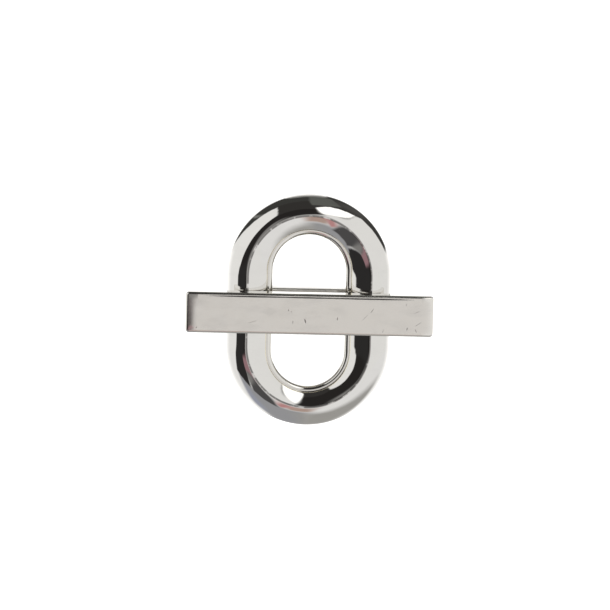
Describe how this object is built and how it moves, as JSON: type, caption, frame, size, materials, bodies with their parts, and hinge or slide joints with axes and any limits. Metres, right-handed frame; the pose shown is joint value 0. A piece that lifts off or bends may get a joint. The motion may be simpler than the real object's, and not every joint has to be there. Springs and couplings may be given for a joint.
{
  "type": "metal ring disentanglement puzzle",
  "caption": "Hand-held cast metal puzzle: an oval ring trapped on a toggle with a long front bar, a round neck and a shorter rear bar.",
  "frame": {"origin": "middle of the rear bar's back face, under the centre of the neck", "axes": "+X along both bars, +Y along the ring's long axis at rest, +Z out of the front bar's face"},
  "size_m": [0.0592, 0.056, 0.02],
  "materials": {
    "bar_nickel": "polished bright plate with fine handling scratches",
    "ring_nickel": "mirror-polished bright plate",
    "liner_nickel": "mirror-polished bright plate",
    "neck_steel": "turned and lightly polished",
    "screw_steel": "turned, plain"
  },
  "bodies": {
    "toggle": {"front_bar": "bar_nickel", "neck_post": "neck_steel", "rear_bar": "bar_nickel", "clamp_screw": "screw_steel"},
    "sleeve": {"neck_sleeve": "neck_steel"},
    "ring": {"ring_body": "ring_nickel", "ring_liner": "liner_nickel"}
  },
  "joints": [
    {"name": "ring_turn", "type": "hinge", "parent": "toggle", "child": "sleeve", "pos_m": [0, 0, 0.00975], "axis": [0, 0, 1], "continuous": true},
    {"name": "ring_slide", "type": "slide", "parent": "sleeve", "child": "ring", "axis": [0, 1, 0], "range_m": [-0.015, 0.015]}
  ]
}
